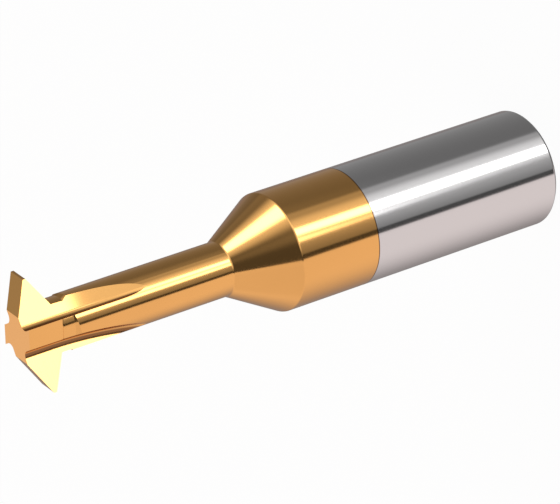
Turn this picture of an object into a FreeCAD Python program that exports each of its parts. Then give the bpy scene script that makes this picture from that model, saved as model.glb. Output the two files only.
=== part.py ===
import FreeCAD, Part

import math
import os

# Back chamfer cutter: one solid of ground carbide with four straight-fluted teeth.
# Millimetres. The end face of the shank lies at Z = 0, the axis is Z and the teeth are at the top.
# Seen from the tip it cuts counterclockwise, so the tooth along +X has its rake face towards +Y.
# Distances called "back" are measured from the front face of the head towards the shank.

# Turned blank
overall_length = 60.0
shank_diameter = 12.0
shank_length = 31.4  # full diameter, from the end face to the foot of the cone
shank_end_chamfer = 0.3
cone_half_angle = 29.0
neck_diameter = 5.5

# Teeth, measured in the plane of the rake face
tooth_count = 4
head_diameter = 12.0
tip_diameter = 5.5
apex_land = 0.3
front_flank_angle = 27.3  # between the flank and a plane across the axis
back_flank_angle = 28.8
rake_offset = 0.25  # rake plane ahead of the axis
relief_angle = 32.4  # drop of the flanks from the cutting edge to the heel

# Recess ground into the neck behind each tooth, round an axis ahead of the tool's own
recess_diameter = 5.32
recess_shift = 0.33
recess_end = 4.9  # back to the foot of the shoulder
recess_shoulder_angle = 32.0  # between the shoulder and the axis

# Flutes, ground by the flat side and the straight rim of one wheel
heel_offset = 1.52  # from the axis to the heel wall
flute_corner_radius = 0.65
wheel_diameter = 96.0
wheel_stop = 2.8  # back to the lowest point of the wheel

# Room around the blank for the tools that cut it
clearance = 1.0

X_AXIS = FreeCAD.Vector(1, 0, 0)
Z_AXIS = FreeCAD.Vector(0, 0, 1)
ORIGIN = FreeCAD.Vector(0, 0, 0)


def slope(angle):
    """Rise per unit of run at an angle in degrees."""
    return math.tan(math.radians(angle))


def below_tip(back):
    """Height of a point that lies this far back."""
    return overall_length - back


def reach(diameter, shift=0):
    """Where the rake plane crosses a circle whose centre is shifted ahead of the axis."""
    return math.sqrt((diameter / 2) ** 2 - (rake_offset - shift) ** 2)


def apex_front():
    """How far back the apex land begins."""
    return (reach(head_diameter) - reach(tip_diameter)) * slope(front_flank_angle)


def apex_back():
    """How far back the apex land ends."""
    return apex_front() + apex_land


def head_length():
    """How far back the rear flank meets the recess."""
    drop = reach(head_diameter) - reach(recess_diameter, recess_shift)
    return apex_back() + drop * slope(back_flank_angle)


def sector_width():
    """From the rake plane to past the rounded foot of the heel wall."""
    return rake_offset + heel_offset + flute_corner_radius


def revolved(outline):
    """Solid of revolution about Z from pairs of radius and height."""
    points = [FreeCAD.Vector(radius, 0, height) for radius, height in outline]
    face = Part.Face(Part.makePolygon(points + points[:1]))
    return face.revolve(ORIGIN, Z_AXIS, 360)


def around(shape):
    """The shape once for each tooth, turned about the axis."""
    copies = []
    for index in range(tooth_count):
        copy = shape.copy()
        copy.rotate(ORIGIN, Z_AXIS, 360 * index / tooth_count)
        copies.append(copy)
    return copies


def tooth_sector(back_start, back_end):
    """Block around the tooth along +X, from its rake plane to past its heel wall."""
    corner = FreeCAD.Vector(-rake_offset, rake_offset - sector_width(), below_tip(back_end))
    return Part.makeBox(head_diameter, sector_width(), back_end - back_start, corner)


def blank():
    """Shank with its chamfer, cone, and neck up into the middle of the head."""
    shank_radius = shank_diameter / 2
    neck_radius = neck_diameter / 2
    cone_top = shank_length + (shank_radius - neck_radius) / slope(cone_half_angle)
    return revolved([
        (0, 0),
        (shank_radius - shank_end_chamfer, 0),
        (shank_radius, shank_end_chamfer),
        (shank_radius, shank_length),
        (neck_radius, cone_top),
        (neck_radius, below_tip(apex_back())),
        (0, below_tip(apex_back())),
    ])


def recess():
    """What is ground off the neck behind the tooth along +X, deeper towards its heel."""
    foot = recess_diameter / 2
    shoulder_length = (neck_diameter / 2 + recess_shift) / slope(recess_shoulder_angle)
    shoulder_end = recess_end + shoulder_length
    core = revolved([
        (0, below_tip(shoulder_end)),
        (foot + shoulder_length * slope(recess_shoulder_angle), below_tip(shoulder_end)),
        (foot, below_tip(recess_end)),
        (foot, below_tip(apex_front())),
        (0, below_tip(apex_front())),
    ])
    core.translate(FreeCAD.Vector(0, recess_shift, 0))
    return tooth_sector(apex_back(), shoulder_end).cut(core)


def tooth():
    """Tooth along +X: a vee in the rake plane, swept down towards the heel for its relief."""
    inner = -head_diameter / 2
    profile = [
        (inner, 0),
        (reach(tip_diameter), 0),
        (reach(head_diameter), apex_front()),
        (reach(head_diameter), apex_back()),
        (reach(recess_diameter, recess_shift), head_length()),
        (inner, head_length()),
        (inner, 0),
    ]
    corners = [FreeCAD.Vector(out, rake_offset, below_tip(back)) for out, back in profile]
    sweep = FreeCAD.Vector(-sector_width() * slope(relief_angle), -sector_width(), 0)
    vee = Part.Face(Part.makePolygon(corners)).extrude(sweep)
    return tooth_sector(0, head_length()).common(vee)


def wheel_section():
    """Section of the wheel: its flat side on the rake plane, its rim on the heel wall."""
    far = head_diameter / 2 + clearance
    side = rake_offset
    radius = flute_corner_radius
    # The rounded corner of the wheel is an arc between its side and its rim.
    middle = radius * (1 - math.sqrt(0.5))
    arc = Part.Arc(
        FreeCAD.Vector(side, -heel_offset - radius, 0),
        FreeCAD.Vector(side + middle, -heel_offset - middle, 0),
        FreeCAD.Vector(side + radius, -heel_offset, 0))
    rest = Part.makePolygon([
        FreeCAD.Vector(side + radius, -heel_offset, 0),
        FreeCAD.Vector(far, -heel_offset, 0),
        FreeCAD.Vector(far, -far, 0),
        FreeCAD.Vector(side, -far, 0),
        FreeCAD.Vector(side, -heel_offset - radius, 0),
    ])
    return Part.Face(Part.Wire([arc.toShape()] + rest.Edges))


def flute():
    """Flute between the heel of the tooth along +X and the rake face of the one along -Y."""
    section = wheel_section()
    section.translate(FreeCAD.Vector(0, 0, below_tip(wheel_stop)))
    straight = section.extrude(FreeCAD.Vector(0, 0, wheel_stop + clearance))
    wheel_radius = wheel_diameter / 2
    rise = neck_diameter / 2 + clearance - heel_offset
    run_out = math.degrees(math.acos(1 - rise / wheel_radius))
    spindle = FreeCAD.Vector(0, -heel_offset - wheel_radius, below_tip(wheel_stop))
    return straight.fuse(section.revolve(spindle, X_AXIS, -run_out))


def cutter():
    """Blank with its recesses, its teeth and then its flutes."""
    body = blank().cut(around(recess()))
    body = body.multiFuse(around(tooth()))
    body = body.cut(around(flute()))
    return body.removeSplitter()


os.makedirs("parts", exist_ok=True)
cutter().Solids[0].exportStep("parts/cutter.step")
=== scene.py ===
"""Back chamfer cutter: ground tungsten carbide with a gold nitride coat, in a pale studio."""

import math

import bmesh
import bpy
from bpy.props import FloatProperty, FloatVectorProperty, IntProperty, PointerProperty
from mathutils import Matrix, Vector


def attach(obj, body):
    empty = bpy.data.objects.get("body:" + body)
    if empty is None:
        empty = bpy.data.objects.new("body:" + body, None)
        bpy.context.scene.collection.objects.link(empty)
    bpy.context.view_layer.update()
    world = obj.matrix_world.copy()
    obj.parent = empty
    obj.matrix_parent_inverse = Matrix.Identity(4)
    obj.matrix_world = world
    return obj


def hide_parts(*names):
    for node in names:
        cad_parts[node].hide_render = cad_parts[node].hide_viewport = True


bl_info = {
    "name": "Back Chamfer Cutter",
    "version": (1, 0, 0),
    "blender": (4, 5, 0),
    "location": "View3D > Sidebar > Cutter",
    "description": "Finishes a one-piece back chamfer cutter and sets it in a studio",
    "category": "Object",
}

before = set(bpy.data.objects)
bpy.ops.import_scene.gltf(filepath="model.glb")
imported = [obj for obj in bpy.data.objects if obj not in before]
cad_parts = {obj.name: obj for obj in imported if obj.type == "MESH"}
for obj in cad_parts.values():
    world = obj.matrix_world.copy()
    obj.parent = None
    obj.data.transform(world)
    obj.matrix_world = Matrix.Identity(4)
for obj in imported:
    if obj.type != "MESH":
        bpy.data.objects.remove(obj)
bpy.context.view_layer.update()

CUTTER_NODE = "cutter"
MM = 0.001
MERGE = 0.00002 * MM  # points nearer than this are one
OVERCUT = 0.1 * MM  # room around the blank for what cuts it
TURN_STEPS = 288  # faces round a turned surface
CORNER_STEPS = 9  # faces round the rounded corner of a flute
RUN_OUT_STEPS = 40  # faces along a flute's run-out
EDGE_STEPS = 5  # faces across a broken edge
SHARP = math.radians(15)  # an edge that turns more than this is sharp
FLAT = math.radians(0.05)  # faces that turn less than this become one
SAME = math.radians(1.5)  # a face that turns this little from a cylinder or cone lies on it

# Faces that a flute's wheel leaves
UPRIGHT = 0.3  # their normals rise less than this
CORE = 0.43  # they pass the axis within this share of the neck's diameter
CORNER_TURN = (3, 87)  # degrees from the heel wall between which lies the rounded corner
ROOT_SHADE_TURN = (35, 50)  # degrees at which the painted shade, a brown, at the rake face's foot begins and is full

# Patterns of the finish
EDGE_WANDER = 0.03 * MM  # of the coat's edge, either way
EDGE_WAVE = 2.5 * MM  # from one wave of that edge to the next
EDGE_BLUR = 0.01 * MM
RIM_WIDTH = (0.08 * MM, 0.14 * MM)  # of the brown line in which the coat runs out, full and faded
TINT_PATCH = 11 * MM  # size of a patch of slightly other tint
TINT = (0.94, 1.06)  # weakest and strongest, as shares of the coat's colour
RING_LENGTH = 16 * MM
RING_PITCH = 0.06 * MM  # real grinding rings are 0.005 to 0.01 mm apart, too fine to show
RING_DEPTH = 0.002 * MM
RING_STRENGTH = 0.06
ROUGHNESS = (0.08, 0.14)  # of the finely ground metal, from ring to ring
ROOT_ROUGHNESS = 0.12  # roughness added at the foot of a rake face, where shade is painted

# Levels of the studio
TABLE_LEVEL = 1.03
STRIP_LEVEL = 0.07  # dark strip along the near horizon, on the shank's side
WALL_LEVEL = 0.33  # wall over that strip
WALL_RISE = 0.16  # what it gains towards the top
TIP_WALL_LEVEL = 0.09  # near wall on the tip's side
FAR_WALL_LEVEL = 0.345
FAR_WALL_FALL = -0.18  # from the horizon to the top
PAPER_GLOW = 0.95  # share of the floor's white that shadows don't reach

# Soft edges between the studio's parts: 0 is the horizon or the tool's middle, and 1 is straight
# up, away from the camera or towards the tip.
STRIP_EDGE = (0.12, 0.15)  # from the dark strip up to the wall
WALL_EDGE = (0.15, 0.42)  # over which the wall gains
SHANK_EDGE = (0.15, -0.15)  # from the tip's side to the shank's
NEAR_EDGE = (0.05, -0.05)  # from the far side to the near one
TABLE_EDGE = (0.01, -0.03)  # from the room down to the table

FLOOR_RADIUS = 2.5
FLOOR_SIDES = 96
FLOOR_BEND = 1.2
FLOOR_BEND_STEPS = 12
FLOOR_GAP = 0.01 * MM  # keeps the floor out of the plane of the shank's end face
SENSOR_WIDTH = 36  # millimetres, as the camera counts
NEAREST = 10 * MM  # what lies nearer to the camera isn't drawn

# Round soft-edged spots of the studio: azimuth from the tip towards the camera, elevation, the
# angles within which the spot is full and beyond which it is gone, in degrees, and its level.
SOFTBOXES = (
    (137.2, 40.6, 2.7, 8.2, 4.76),  # key light
    (139.5, 44.3, 5.2, 21.5, 0.56),  # spill of the key light
    (120.9, 32.3, 4.0, 7.3, 3.62),  # lower end of the key light
    (129.6, 53.9, 3.6, 7.1, 1.17),  # upper end of the key light
    (-25.0, 67.0, 6.0, 19.0, 3.8),  # overhead light
    (-29.2, 79.4, 4.2, 43.4, 1.07),  # spill of the overhead light
    (94.9, 45.0, 17.3, 34.2, 0.61),  # light wall beside the camera
    (-50.1, 8.0, 15.1, 35.3, 0.11),  # grey wall behind the tip
    (-95.8, 11.5, 8.2, 18.1, -0.09),  # dark wall behind the neck
)
TABLE_SHADES = (
    (-122, -12, 5, 100, -0.74),  # shade behind and beneath the tool
    (-50, -30, 12, 40, 0.41),  # open table beyond the tip
    (-150, -13, 7, 20, -0.3),  # dark far edge of the table behind the shank
    (65, -38, 25, 42, -0.09),  # shade the tool throws in front of its tip
)


def linear(hex_colour):
    """Linear colour of an sRGB hex value such as "C8C0BE"."""
    parts = [int(hex_colour[i:i + 2], 16) / 255 for i in (0, 2, 4)]
    return tuple(p / 12.92 if p <= 0.04045 else ((p + 0.055) / 1.055) ** 2.4 for p in parts)


def add_node(tree, kind, links=None, **settings):
    """Adds a node with its settings.

    Each input in links, by name or number, is linked to a node or socket, or holds a value.
    """
    node = tree.nodes.new(kind)
    for name, value in settings.items():
        setattr(node, name, value)
    for key, value in (links or {}).items():
        if isinstance(value, bpy.types.Node):
            value = value.outputs[0]
        if isinstance(value, bpy.types.NodeSocket):
            tree.links.new(value, node.inputs[key])
        else:
            node.inputs[key].default_value = value
    return node


def new_tree(owner):
    """Empty node tree of a material or world."""
    owner.use_nodes = True
    owner.node_tree.nodes.clear()
    return owner.node_tree


def length(name, millimetres, description):
    """Property that holds a length."""
    return FloatProperty(
        name=name, description=description, default=millimetres * MM, min=0,
        subtype="DISTANCE", unit="LENGTH", precision=5)


def angle(name, degrees, description):
    """Property that holds an angle."""
    return FloatProperty(
        name=name, description=description, default=math.radians(degrees), subtype="ANGLE")


def colour(name, hex_colour, description):
    """Property that holds a colour."""
    return FloatVectorProperty(
        name=name, description=description, default=linear(hex_colour), subtype="COLOR", size=3,
        min=0, max=1)


class CutterSettings(bpy.types.PropertyGroup):
    """Sizes and colours of the cutter. "Back" is measured from its front face."""

    overall_length: length("Length", 60.0, "From the shank's end face to the head's front face")
    shank_diameter: length("Shank diameter", 12.0, "Diameter of the shank")
    shank_length: length("Shank length", 31.4, "Full diameter, from the end face to the cone")
    shank_end_chamfer: length("End chamfer", 0.3, "Chamfer of the shank's end")
    cone_half_angle: angle("Cone half angle", 29.0, "Between the cone and the axis")
    edge_break: length("Edge break", 0.1, "Rounding between end chamfer, shank, cone and neck")
    neck_diameter: length("Neck diameter", 5.5, "Diameter of the neck")
    tooth_count: IntProperty(name="Teeth", description="Number of teeth", default=4, min=2, max=4)
    head_diameter: length("Head diameter", 12.0, "Diameter over the apexes of the teeth")
    tip_diameter: length("Tip diameter", 5.5, "Diameter at which the front flanks begin")
    apex_land: length("Apex land", 0.3, "Length of the land at the apex of a tooth")
    front_flank_angle: angle(
        "Front flank", 27.3, "Between the front flank and a plane across the axis")
    back_flank_angle: angle(
        "Back flank", 28.8, "Between the back flank and a plane across the axis")
    rake_offset: length("Rake offset", 0.25, "Rake plane ahead of the axis")
    relief_angle: angle("Relief", 32.4, "Drop of the flanks from the cutting edge to the heel")
    recess_diameter: length("Recess diameter", 5.32, "Neck left by the recess behind a tooth")
    recess_shift: length("Recess shift", 0.33, "How far the recess turns ahead of the axis")
    recess_end: length("Recess end", 4.9, "Back to the foot of the recess's shoulder")
    recess_shoulder_angle: angle("Recess shoulder", 32.0, "Between the shoulder and the axis")
    heel_offset: length("Heel offset", 1.52, "From the axis to the heel wall of a flute")
    flute_corner_radius: length("Flute corner", 0.65, "Radius between a flute's two walls")
    wheel_diameter: length("Wheel diameter", 96.0, "Wheel whose rim leaves the flute's run-out")
    wheel_stop: length("Wheel stop", 2.8, "Back to where the flute begins to run out")
    coat_end: length("Coat end", 22.33, "Height above the shank's end face where the coat begins")
    carbide_colour: colour("Carbide", "CFCDCD", "Bare ground carbide of the shank")
    coat_colour: colour("Coat", "E6AD66", "Gold-coloured titanium nitride coat")
    coat_rim_colour: colour("Coat rim", "7A5A3C", "Thin brown line in which the coat runs out")
    # Painted shade: the brown at the foot of each rake face stands for the dark reflection of the
    # tool's own shadow, not for a thinner coat.
    root_shade_colour: colour("Flute root", "88603E", "Thin dull coat at the foot of a rake face")


class StageSettings(bpy.types.PropertyGroup):
    """Camera, floor and studio light."""

    camera_location: FloatVectorProperty(
        name="Camera", description="Place of the camera",
        default=(-0.000336, -0.299099, 0.209541), subtype="TRANSLATION", size=3, precision=5)
    camera_tilt: FloatProperty(
        name="Tilt", description="How far the camera looks down",
        default=math.radians(30.96), subtype="ANGLE")
    camera_roll: FloatProperty(
        name="Roll", description="Turn of the picture, which lays the standing tool on its side",
        default=math.radians(-108.74), subtype="ANGLE")
    lens: FloatProperty(
        name="Lens", description="Focal length in millimetres on a sensor 36 mm wide",
        default=231.03, min=1)
    studio_turn: FloatProperty(
        name="Studio turn", description="Turn about the tool that puts the studio's ceiling on +X",
        default=math.radians(33.41), subtype="ANGLE")
    floor_colour: FloatVectorProperty(
        name="Floor", description="Pale floor and backdrop",
        default=linear("FFFFFF"), subtype="COLOR", size=3, min=0, max=1)
    bounce_colour: FloatVectorProperty(
        name="Bounce", description="Pale warm table top that the tool's lower half reflects",
        default=linear("FEF3F1"), subtype="COLOR", size=3, min=0, max=1)


def coated_carbide(settings):
    """Cylindrically ground tungsten carbide with a gold titanium nitride coat on its front.

    The grinding leaves a bright, nearly mirror-like metal with hair-fine rings around the axis. The
    coat is a few thousandths of a millimetre thick, so it keeps those rings and only adds colour.
    """
    material = bpy.data.materials.new("ground_carbide_gold_nitride_coat")
    tree = new_tree(material)
    place = add_node(tree, "ShaderNodeTexCoord").outputs["Object"]
    height = add_node(tree, "ShaderNodeSeparateXYZ", {0: place}).outputs["Z"]

    # The coat's edge wanders by a few hundredths of a millimetre where the holder masked it.
    wave = add_node(tree, "ShaderNodeTexNoise", {
        "Vector": place, "Scale": 1 / EDGE_WAVE, "Detail": 2.0})
    edge = add_node(tree, "ShaderNodeMapRange", {
        "Value": wave, "To Min": -EDGE_WANDER, "To Max": EDGE_WANDER})
    above = add_node(tree, "ShaderNodeMath", {0: height, 1: edge}, operation="ADD")
    coated = add_node(tree, "ShaderNodeMapRange", {
        "Value": above, "From Min": settings.coat_end - EDGE_BLUR,
        "From Max": settings.coat_end + EDGE_BLUR})
    rim = add_node(tree, "ShaderNodeMapRange", {
        "Value": above, "From Min": settings.coat_end + RIM_WIDTH[0],
        "From Max": settings.coat_end + RIM_WIDTH[1]})

    # Faint tint of the coat, which is never quite even over the batch-coated surface
    tint = add_node(tree, "ShaderNodeTexNoise", {
        "Vector": place, "Scale": 1 / TINT_PATCH, "Detail": 3.0})
    tone = add_node(tree, "ShaderNodeMapRange", {
        "Value": tint, "To Min": TINT[0], "To Max": TINT[1]})
    gold = add_node(tree, "ShaderNodeVectorMath", {0: settings.coat_colour, "Scale": tone},
                    operation="SCALE")
    # Painted shade: at the foot of a rake face the coat is painted brown. This stands for the dark
    # reflection of the tool's own shadow there, and the strip is also made rougher.
    root = add_node(tree, "ShaderNodeAttribute", attribute_name="flute_root_shade").outputs["Fac"]
    gold = add_node(tree, "ShaderNodeMix", {
        "Factor": root, 6: gold, 7: (*settings.root_shade_colour, 1)}, data_type="RGBA")
    rimmed = add_node(tree, "ShaderNodeMix", {
        "Factor": rim, 6: (*settings.coat_rim_colour, 1), 7: gold.outputs[2]}, data_type="RGBA")
    skin = add_node(tree, "ShaderNodeMix", {
        "Factor": coated, 6: (*settings.carbide_colour, 1), 7: rimmed.outputs[2]}, data_type="RGBA")

    # Grinding rings, drawn about eight times as coarse as the real ones, so that they show at all
    squeezed = add_node(tree, "ShaderNodeMapping", {
        "Vector": place, "Scale": (1 / RING_LENGTH, 1 / RING_LENGTH, 1 / RING_PITCH)})
    rings = add_node(tree, "ShaderNodeTexNoise", {
        "Vector": squeezed, "Scale": 1.0, "Detail": 2.0, "Roughness": 0.6})
    bump = add_node(tree, "ShaderNodeBump", {
        "Strength": RING_STRENGTH, "Distance": RING_DEPTH, "Height": rings})
    roughness = add_node(tree, "ShaderNodeMapRange", {
        "Value": rings, "To Min": ROUGHNESS[0], "To Max": ROUGHNESS[1]})
    roughness = add_node(tree, "ShaderNodeMath", {0: root, 1: ROOT_ROUGHNESS, 2: roughness},
                         operation="MULTIPLY_ADD")
    surface = add_node(tree, "ShaderNodeBsdfPrincipled", {
        "Base Color": skin.outputs[2], "Metallic": 1.0, "Roughness": roughness, "Normal": bump})
    add_node(tree, "ShaderNodeOutputMaterial", {"Surface": surface})
    return material


def push(form, made, path):
    """Moves what an extrude made."""
    verts = [item for item in made["geom"] if isinstance(item, bmesh.types.BMVert)]
    bmesh.ops.translate(form, verts=verts, vec=path)


def outline_of(form, points):
    """Vertices and edges of an open outline."""
    verts = [form.verts.new(point) for point in points]
    return verts + [form.edges.new(pair) for pair in zip(verts, verts[1:])]


def as_object(form, name):
    """Object of a closed form, with its faces turned outwards."""
    bmesh.ops.remove_doubles(form, verts=form.verts, dist=MERGE)
    bmesh.ops.recalc_face_normals(form, faces=form.faces)
    mesh = bpy.data.meshes.new(name)
    form.to_mesh(mesh)
    form.free()
    thing = bpy.data.objects.new(name, mesh)
    bpy.context.scene.collection.objects.link(thing)
    return thing


def turned(name, outline, centre=(0, 0, 0), broken=(), size=0.0):
    """Solid turned about a Z axis from pairs of radius and height.

    Its edges at the heights in broken are rounded to the size.
    """
    form = bmesh.new()
    points = [Vector(centre) + Vector((radius, 0, height)) for radius, height in outline]
    bmesh.ops.spin(form, geom=outline_of(form, points), cent=centre, axis=(0, 0, 1),
                   angle=math.tau, steps=TURN_STEPS, use_merge=True)
    rings = [edge for edge in form.edges for height in broken
             if all(abs(vert.co.z - height) < MERGE for vert in edge.verts)]
    if rings:
        bmesh.ops.bevel(form, geom=rings, offset=size, segments=EDGE_STEPS, profile=0.5,
                        affect="EDGES", material=-1)
    return as_object(form, name)


def swept(name, corners, path):
    """Solid that a flat outline sweeps along a straight path."""
    form = bmesh.new()
    face = form.faces.new([form.verts.new(corner) for corner in corners])
    push(form, bmesh.ops.extrude_face_region(form, geom=[face], use_keep_orig=True), path)
    return as_object(form, name)


def boxed(name, low, high):
    """Block between two corners."""
    return swept(name, [(low[0], low[1], low[2]), (high[0], low[1], low[2]),
                        (high[0], high[1], low[2]), (low[0], high[1], low[2])],
                 (0, 0, high[2] - low[2]))


def combine(base, tool, operation, count=1):
    """Joins, cuts or meets the base with the tool, once for each of count places round the axis."""
    for index in range(count):
        step = base.modifiers.new("step", "BOOLEAN")
        step.operation = operation
        step.solver = "EXACT"
        step.object = tool
        tool.matrix_world = Matrix.Rotation(math.tau * index / count, 4, "Z")
        bpy.context.view_layer.update()
        done = bpy.data.meshes.new_from_object(
            base.evaluated_get(bpy.context.evaluated_depsgraph_get()))
        base.modifiers.clear()
        base.data = done
    bpy.data.objects.remove(tool)
    return base


def reach(s, diameter, shift=0.0):
    """Where the rake plane crosses a circle whose centre is shifted ahead of the axis."""
    return math.sqrt((diameter / 2) ** 2 - (s.rake_offset - shift) ** 2)


def apex_front(s):
    """How far back the apex land begins."""
    return (reach(s, s.head_diameter) - reach(s, s.tip_diameter)) * math.tan(s.front_flank_angle)


def apex_back(s):
    """How far back the apex land ends."""
    return apex_front(s) + s.apex_land


def sector(s, name, back_start, back_end):
    """Block around the tooth along +X, from just ahead of its rake plane to past its heel wall."""
    return boxed(
        name,
        (-s.rake_offset, -s.heel_offset - s.flute_corner_radius, s.overall_length - back_end),
        (s.head_diameter, s.rake_offset + OVERCUT, s.overall_length - back_start))


def blank(s, name):
    """Shank with its chamfer, cone, and neck up into the middle of the head."""
    radius, neck = s.shank_diameter / 2, s.neck_diameter / 2
    cone_top = s.shank_length + (radius - neck) / math.tan(s.cone_half_angle)
    top = s.overall_length - apex_back(s)
    return turned(name, [
        (0, 0), (radius - s.shank_end_chamfer, 0), (radius, s.shank_end_chamfer),
        (radius, s.shank_length), (neck, cone_top), (neck, top), (0, top)],
        broken=(s.shank_end_chamfer, s.shank_length, cone_top), size=s.edge_break)


def recess(s):
    """What is ground off the neck behind the tooth along +X."""
    foot = s.recess_diameter / 2
    shoulder = (s.neck_diameter / 2 + s.recess_shift) / math.tan(s.recess_shoulder_angle)
    shoulder_top = foot + shoulder * math.tan(s.recess_shoulder_angle)
    low = s.overall_length - s.recess_end - shoulder
    core = turned("recess_core", [
        (0, low - OVERCUT), (shoulder_top, low - OVERCUT), (shoulder_top, low),
        (foot, s.overall_length - s.recess_end), (foot, s.overall_length), (0, s.overall_length)],
        centre=(0, s.recess_shift, 0))
    ring = sector(s, "recess", apex_front(s), s.recess_end + shoulder)
    return combine(ring, core, "DIFFERENCE")


def tooth(s):
    """Tooth along +X: a vee swept down towards the heel for its relief."""
    inner = -s.head_diameter / 2
    outer, root = reach(s, s.head_diameter), reach(s, s.recess_diameter, s.recess_shift)
    front, back = apex_front(s), apex_back(s)
    end = back + (outer - root) * math.tan(s.back_flank_angle)
    drop = math.tan(s.relief_angle)
    width = s.rake_offset + s.heel_offset + s.flute_corner_radius + 2 * OVERCUT
    outline = [(inner, 0), (reach(s, s.tip_diameter), 0), (outer, front), (outer, back),
               (root, end), (inner, end)]
    vee = swept("vee", [(out + OVERCUT * drop, s.rake_offset + OVERCUT, s.overall_length - down)
                        for out, down in outline], (-width * drop, -width, 0))
    return combine(vee, sector(s, "tooth_sector", -OVERCUT, end + OVERCUT), "INTERSECT")


def flute(s):
    """What is ground out between the heel of the tooth along +X and the rake of that along -Y."""
    far = s.head_diameter / 2 + OVERCUT
    stop = s.overall_length - s.wheel_stop
    form = bmesh.new()
    corners = [form.verts.new((x, y, stop)) for x, y in (
        (s.rake_offset, -s.heel_offset), (far, -s.heel_offset), (far, -far), (s.rake_offset, -far))]
    form.faces.new(corners)
    bmesh.ops.bevel(form, geom=corners[:1], offset=s.flute_corner_radius, segments=CORNER_STEPS,
                    profile=0.5, affect="VERTICES", material=-1)
    [section] = form.faces
    push(form, bmesh.ops.extrude_face_region(form, geom=[section], use_keep_orig=True),
         (0, 0, s.wheel_stop + OVERCUT))
    rise = s.neck_diameter / 2 + OVERCUT - s.heel_offset
    spindle = (0, -s.heel_offset - s.wheel_diameter / 2, stop)
    run_out = math.acos(1 - rise / (s.wheel_diameter / 2))
    bmesh.ops.spin(form, geom=[section], cent=spindle, axis=(1, 0, 0), angle=-run_out,
                   steps=RUN_OUT_STEPS)
    bmesh.ops.remove_doubles(form, verts=form.verts, dist=MERGE)
    inner = [face for face in form.faces
             if all(not edge.is_manifold and len(edge.link_faces) == 3 for edge in face.edges)]
    bmesh.ops.delete(form, geom=inner, context="FACES")
    return as_object(form, "flute")


def shade(piece, s):
    """Gives turned faces the exact normals of their cylinder or cone, and the rest smooth ones.

    It also marks the foot of each rake face, where shade is painted, and raises an error where the
    piece isn't closed.
    """
    form = bmesh.new()
    form.from_mesh(piece.data)
    bmesh.ops.remove_doubles(form, verts=form.verts, dist=MERGE)
    bmesh.ops.dissolve_degenerate(form, edges=form.edges, dist=MERGE)
    bmesh.ops.dissolve_limit(form, angle_limit=FLAT, verts=form.verts, edges=form.edges)
    lean = Vector((math.cos(s.cone_half_angle), math.sin(s.cone_half_angle)))
    normals = []
    root_shade_layer = form.loops.layers.float.new("flute_root_shade")
    for face in form.faces:
        face.smooth = True
        centre = face.calc_center_median()
        fluted = (abs(face.normal.z) < UPRIGHT
                  and centre.xy.dot(face.normal.xy) < CORE * s.neck_diameter)
        for loop in face.loops:
            out = Vector((loop.vert.co.x, loop.vert.co.y, 0))
            out = out.normalized() if out.length > MERGE else Vector((0, 0, 1))
            cone = Vector((out.x * lean.x, out.y * lean.x, lean.y))
            exact = [normal for normal in (out, cone) if normal.dot(face.normal) > math.cos(SAME)]
            near = [other for other in loop.vert.link_faces
                    if other.normal.dot(face.normal) > math.cos(SHARP)]
            blend = sum((other.normal * other.calc_area() for other in near), Vector())
            normals.append(exact[0] if exact else blend.normalized())
            # In the corner of a flute the normal turns from the heel wall's, at 0, to the rake
            # face's, at 90.
            turn = math.degrees(math.atan2(normals[-1].y, normals[-1].x)) % 90
            # There the foot of the rake face gets the mark for its painted shade.
            if fluted and CORNER_TURN[0] < turn < CORNER_TURN[1]:
                share = (turn - ROOT_SHADE_TURN[0]) / (ROOT_SHADE_TURN[1] - ROOT_SHADE_TURN[0])
                loop[root_shade_layer] = min(max(share, 0), 1)
    if not all(edge.is_manifold for edge in form.edges):
        raise RuntimeError(f"{piece.name} isn't closed")
    for edge in form.edges:
        edge.smooth = edge.calc_face_angle(0) < SHARP
    form.to_mesh(piece.data)
    form.free()
    piece.data.normals_split_custom_set(normals)


class CUTTER_OT_body(bpy.types.Operator):
    """Makes the ground and coated body of the cutter over its CAD solid"""

    bl_idname = "cutter.body"
    bl_label = "Cutter body"

    def execute(self, context):
        settings = context.scene.cutter
        piece = blank(settings, "coated_cutter")
        combine(piece, recess(settings), "DIFFERENCE", settings.tooth_count)
        combine(piece, tooth(settings), "UNION", settings.tooth_count)
        combine(piece, flute(settings), "DIFFERENCE", settings.tooth_count)
        shade(piece, settings)
        piece.data.materials.clear()
        piece.data.materials.append(coated_carbide(settings))
        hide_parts(CUTTER_NODE)
        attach(piece, "root")
        return {"FINISHED"}


def studio_direction(azimuth, elevation):
    """Direction in the turned studio: X is up, Z runs to the tool's tip and -Y to the camera."""
    a, e = math.radians(azimuth), math.radians(elevation)
    return Vector((math.sin(e), -math.sin(a) * math.cos(e), math.cos(a) * math.cos(e)))


def with_spots(tree, ray, level, spots):
    """Level of light with each round soft-edged spot added."""
    for azimuth, elevation, inner, outer, strength in spots:
        nearness = add_node(tree, "ShaderNodeVectorMath", {
            0: ray, 1: studio_direction(azimuth, elevation)}, operation="DOT_PRODUCT")
        spot = add_node(tree, "ShaderNodeMapRange", {
            "Value": nearness.outputs["Value"], "From Min": math.cos(math.radians(outer)),
            "From Max": math.cos(math.radians(inner)), "To Max": strength},
            interpolation_type="SMOOTHSTEP")
        level = add_node(tree, "ShaderNodeMath", {0: level, 1: spot}, operation="ADD")
    return level


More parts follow.
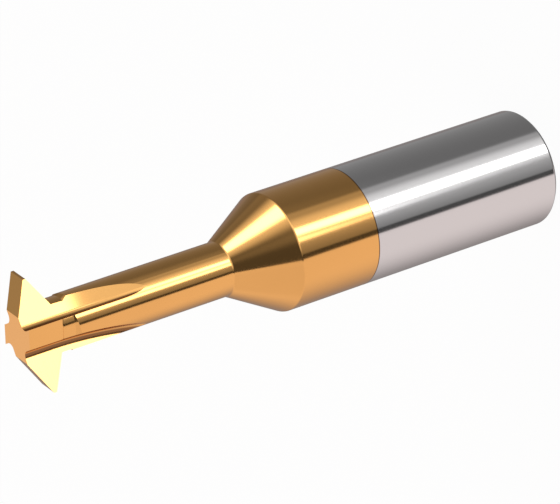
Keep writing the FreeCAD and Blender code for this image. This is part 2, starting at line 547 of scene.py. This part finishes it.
def studio_world(settings):
    """Makes the world the studio in which the tool lay on its side, as its metal reflects it."""
    world = bpy.data.worlds.new("studio")
    bpy.context.scene.world = world
    tree = new_tree(world)
    place = add_node(tree, "ShaderNodeTexCoord").outputs["Generated"]
    ray = add_node(tree, "ShaderNodeMapping", {
        "Vector": place, "Rotation": (0, 0, settings.studio_turn)}, vector_type="VECTOR")
    axes = add_node(tree, "ShaderNodeSeparateXYZ", {0: ray})
    up, far, tip = axes.outputs["X"], axes.outputs["Y"], axes.outputs["Z"]

    # Room above the table: a dark strip along the near horizon, grey wall over it, and grey behind.
    strip = add_node(tree, "ShaderNodeMapRange", {
        "Value": up, "From Min": STRIP_EDGE[0], "From Max": STRIP_EDGE[1],
        "To Min": STRIP_LEVEL, "To Max": WALL_LEVEL}, interpolation_type="SMOOTHSTEP")
    wall = add_node(tree, "ShaderNodeMapRange", {
        "Value": up, "From Min": WALL_EDGE[0], "From Max": WALL_EDGE[1], "To Max": WALL_RISE},
        interpolation_type="SMOOTHSTEP")
    wall = add_node(tree, "ShaderNodeMath", {0: strip, 1: wall}, operation="ADD")
    shankward = add_node(tree, "ShaderNodeMapRange", {
        "Value": tip, "From Min": SHANK_EDGE[0], "From Max": SHANK_EDGE[1]},
        interpolation_type="SMOOTHSTEP")
    near_wall = add_node(tree, "ShaderNodeMix", {"Factor": shankward, 2: TIP_WALL_LEVEL, 3: wall})
    far_wall = add_node(tree, "ShaderNodeMath", {0: up, 1: FAR_WALL_FALL, 2: FAR_WALL_LEVEL},
                        operation="MULTIPLY_ADD")
    near = add_node(tree, "ShaderNodeMapRange", {
        "Value": far, "From Min": NEAR_EDGE[0], "From Max": NEAR_EDGE[1]},
        interpolation_type="SMOOTHSTEP")
    room = add_node(tree, "ShaderNodeMix", {"Factor": near, 2: far_wall, 3: near_wall})
    room = with_spots(tree, ray, room, SOFTBOXES)

    # Table top, which the tool shades beneath and behind itself
    table = with_spots(tree, ray, TABLE_LEVEL, TABLE_SHADES)
    table = add_node(tree, "ShaderNodeVectorMath", {0: settings.bounce_colour, "Scale": table},
                     operation="SCALE")
    below = add_node(tree, "ShaderNodeMapRange", {
        "Value": up, "From Min": TABLE_EDGE[0], "From Max": TABLE_EDGE[1]},
        interpolation_type="SMOOTHSTEP")
    studio = add_node(tree, "ShaderNodeMix", {"Factor": below, 6: room, 7: table}, data_type="RGBA")
    light = add_node(tree, "ShaderNodeBackground", {"Color": studio.outputs[2], "Strength": 1.0})
    add_node(tree, "ShaderNodeOutputWorld", {"Surface": light})


def pale_floor(settings):
    """Matt white studio paper: the camera sees it white, and it keeps the object's soft shadow."""
    material = bpy.data.materials.new("white_studio_paper")
    tree = new_tree(material)
    pale = (*settings.floor_colour, 1)
    paper = add_node(tree, "ShaderNodeBsdfDiffuse", {"Color": pale})
    white = add_node(tree, "ShaderNodeEmission", {"Color": pale, "Strength": 1.0})
    path = add_node(tree, "ShaderNodeLightPath")
    seen = add_node(tree, "ShaderNodeMath", {
        0: path.outputs["Is Camera Ray"], 1: path.outputs["Is Glossy Ray"]}, operation="MAXIMUM")
    seen = add_node(tree, "ShaderNodeMath", {
        0: seen, 1: path.outputs["Is Transmission Ray"]}, operation="MAXIMUM")
    share = add_node(tree, "ShaderNodeMath", {0: seen, 1: PAPER_GLOW}, operation="MULTIPLY")
    surface = add_node(tree, "ShaderNodeMixShader", {0: share, 1: paper, 2: white})
    add_node(tree, "ShaderNodeOutputMaterial", {"Surface": surface})
    return material


class CUTTER_OT_stage(bpy.types.Operator):
    """Makes the pale floor, the studio light and the camera"""

    bl_idname = "cutter.stage"
    bl_label = "Stage"

    def execute(self, context):
        scene = context.scene
        settings = scene.cutter_stage
        mesh = bpy.data.meshes.new("floor")
        form = bmesh.new()
        bmesh.ops.create_circle(form, cap_ends=True, segments=FLOOR_SIDES, radius=FLOOR_RADIUS,
                                matrix=Matrix.Translation((0, 0, -FLOOR_GAP)))
        rim = [edge for edge in form.edges if edge.is_boundary]
        push(form, bmesh.ops.extrude_edge_only(form, edges=rim), (0, 0, FLOOR_RADIUS))
        bmesh.ops.bevel(form, geom=rim, offset=FLOOR_BEND, segments=FLOOR_BEND_STEPS, profile=0.5,
                        affect="EDGES", material=-1)
        for face in form.faces:
            face.smooth = True
        form.to_mesh(mesh)
        form.free()
        floor = bpy.data.objects.new("floor", mesh)
        scene.collection.objects.link(floor)
        mesh.materials.append(pale_floor(settings))
        # The tool stands here but was pictured lying down, so its metal reflects the studio and
        # not this floor.
        floor.visible_glossy = False
        floor.visible_diffuse = False
        floor.visible_shadow = False

        studio_world(settings)

        lens = bpy.data.cameras.new("camera")
        lens.lens = settings.lens
        lens.sensor_width = SENSOR_WIDTH
        lens.clip_start = NEAREST
        camera = bpy.data.objects.new("camera", lens)
        scene.collection.objects.link(camera)
        look = Matrix.Rotation(math.pi / 2 - settings.camera_tilt, 4, "X")
        roll = Matrix.Rotation(settings.camera_roll, 4, "Z")
        camera.matrix_world = Matrix.Translation(settings.camera_location) @ look @ roll
        scene.camera = camera
        scene.view_settings.view_transform = "Standard"
        return {"FINISHED"}


class CUTTER_PT_panel(bpy.types.Panel):
    """Lists the cutter's settings and its operators"""

    bl_label = "Back Chamfer Cutter"
    bl_idname = "CUTTER_PT_panel"
    bl_space_type = "VIEW_3D"
    bl_region_type = "UI"
    bl_category = "Cutter"

    def draw(self, context):
        for settings in (context.scene.cutter, context.scene.cutter_stage):
            column = self.layout.column()
            for name in settings.__annotations__:
                column.prop(settings, name)
        for operator in OPERATORS:
            self.layout.operator(operator.bl_idname)


OPERATORS = (CUTTER_OT_body, CUTTER_OT_stage)
CLASSES = (CutterSettings, StageSettings, *OPERATORS, CUTTER_PT_panel)


def register():
    """Adds the classes, and the settings to the scene."""
    for item in CLASSES:
        bpy.utils.register_class(item)
    bpy.types.Scene.cutter = PointerProperty(type=CutterSettings)
    bpy.types.Scene.cutter_stage = PointerProperty(type=StageSettings)


def unregister():
    """Takes the settings and the classes away again."""
    del bpy.types.Scene.cutter_stage
    del bpy.types.Scene.cutter
    for item in reversed(CLASSES):
        bpy.utils.unregister_class(item)


def main():
    register()
    bpy.ops.cutter.body()
    bpy.ops.cutter.stage()


if __name__ == "__main__":
    main()
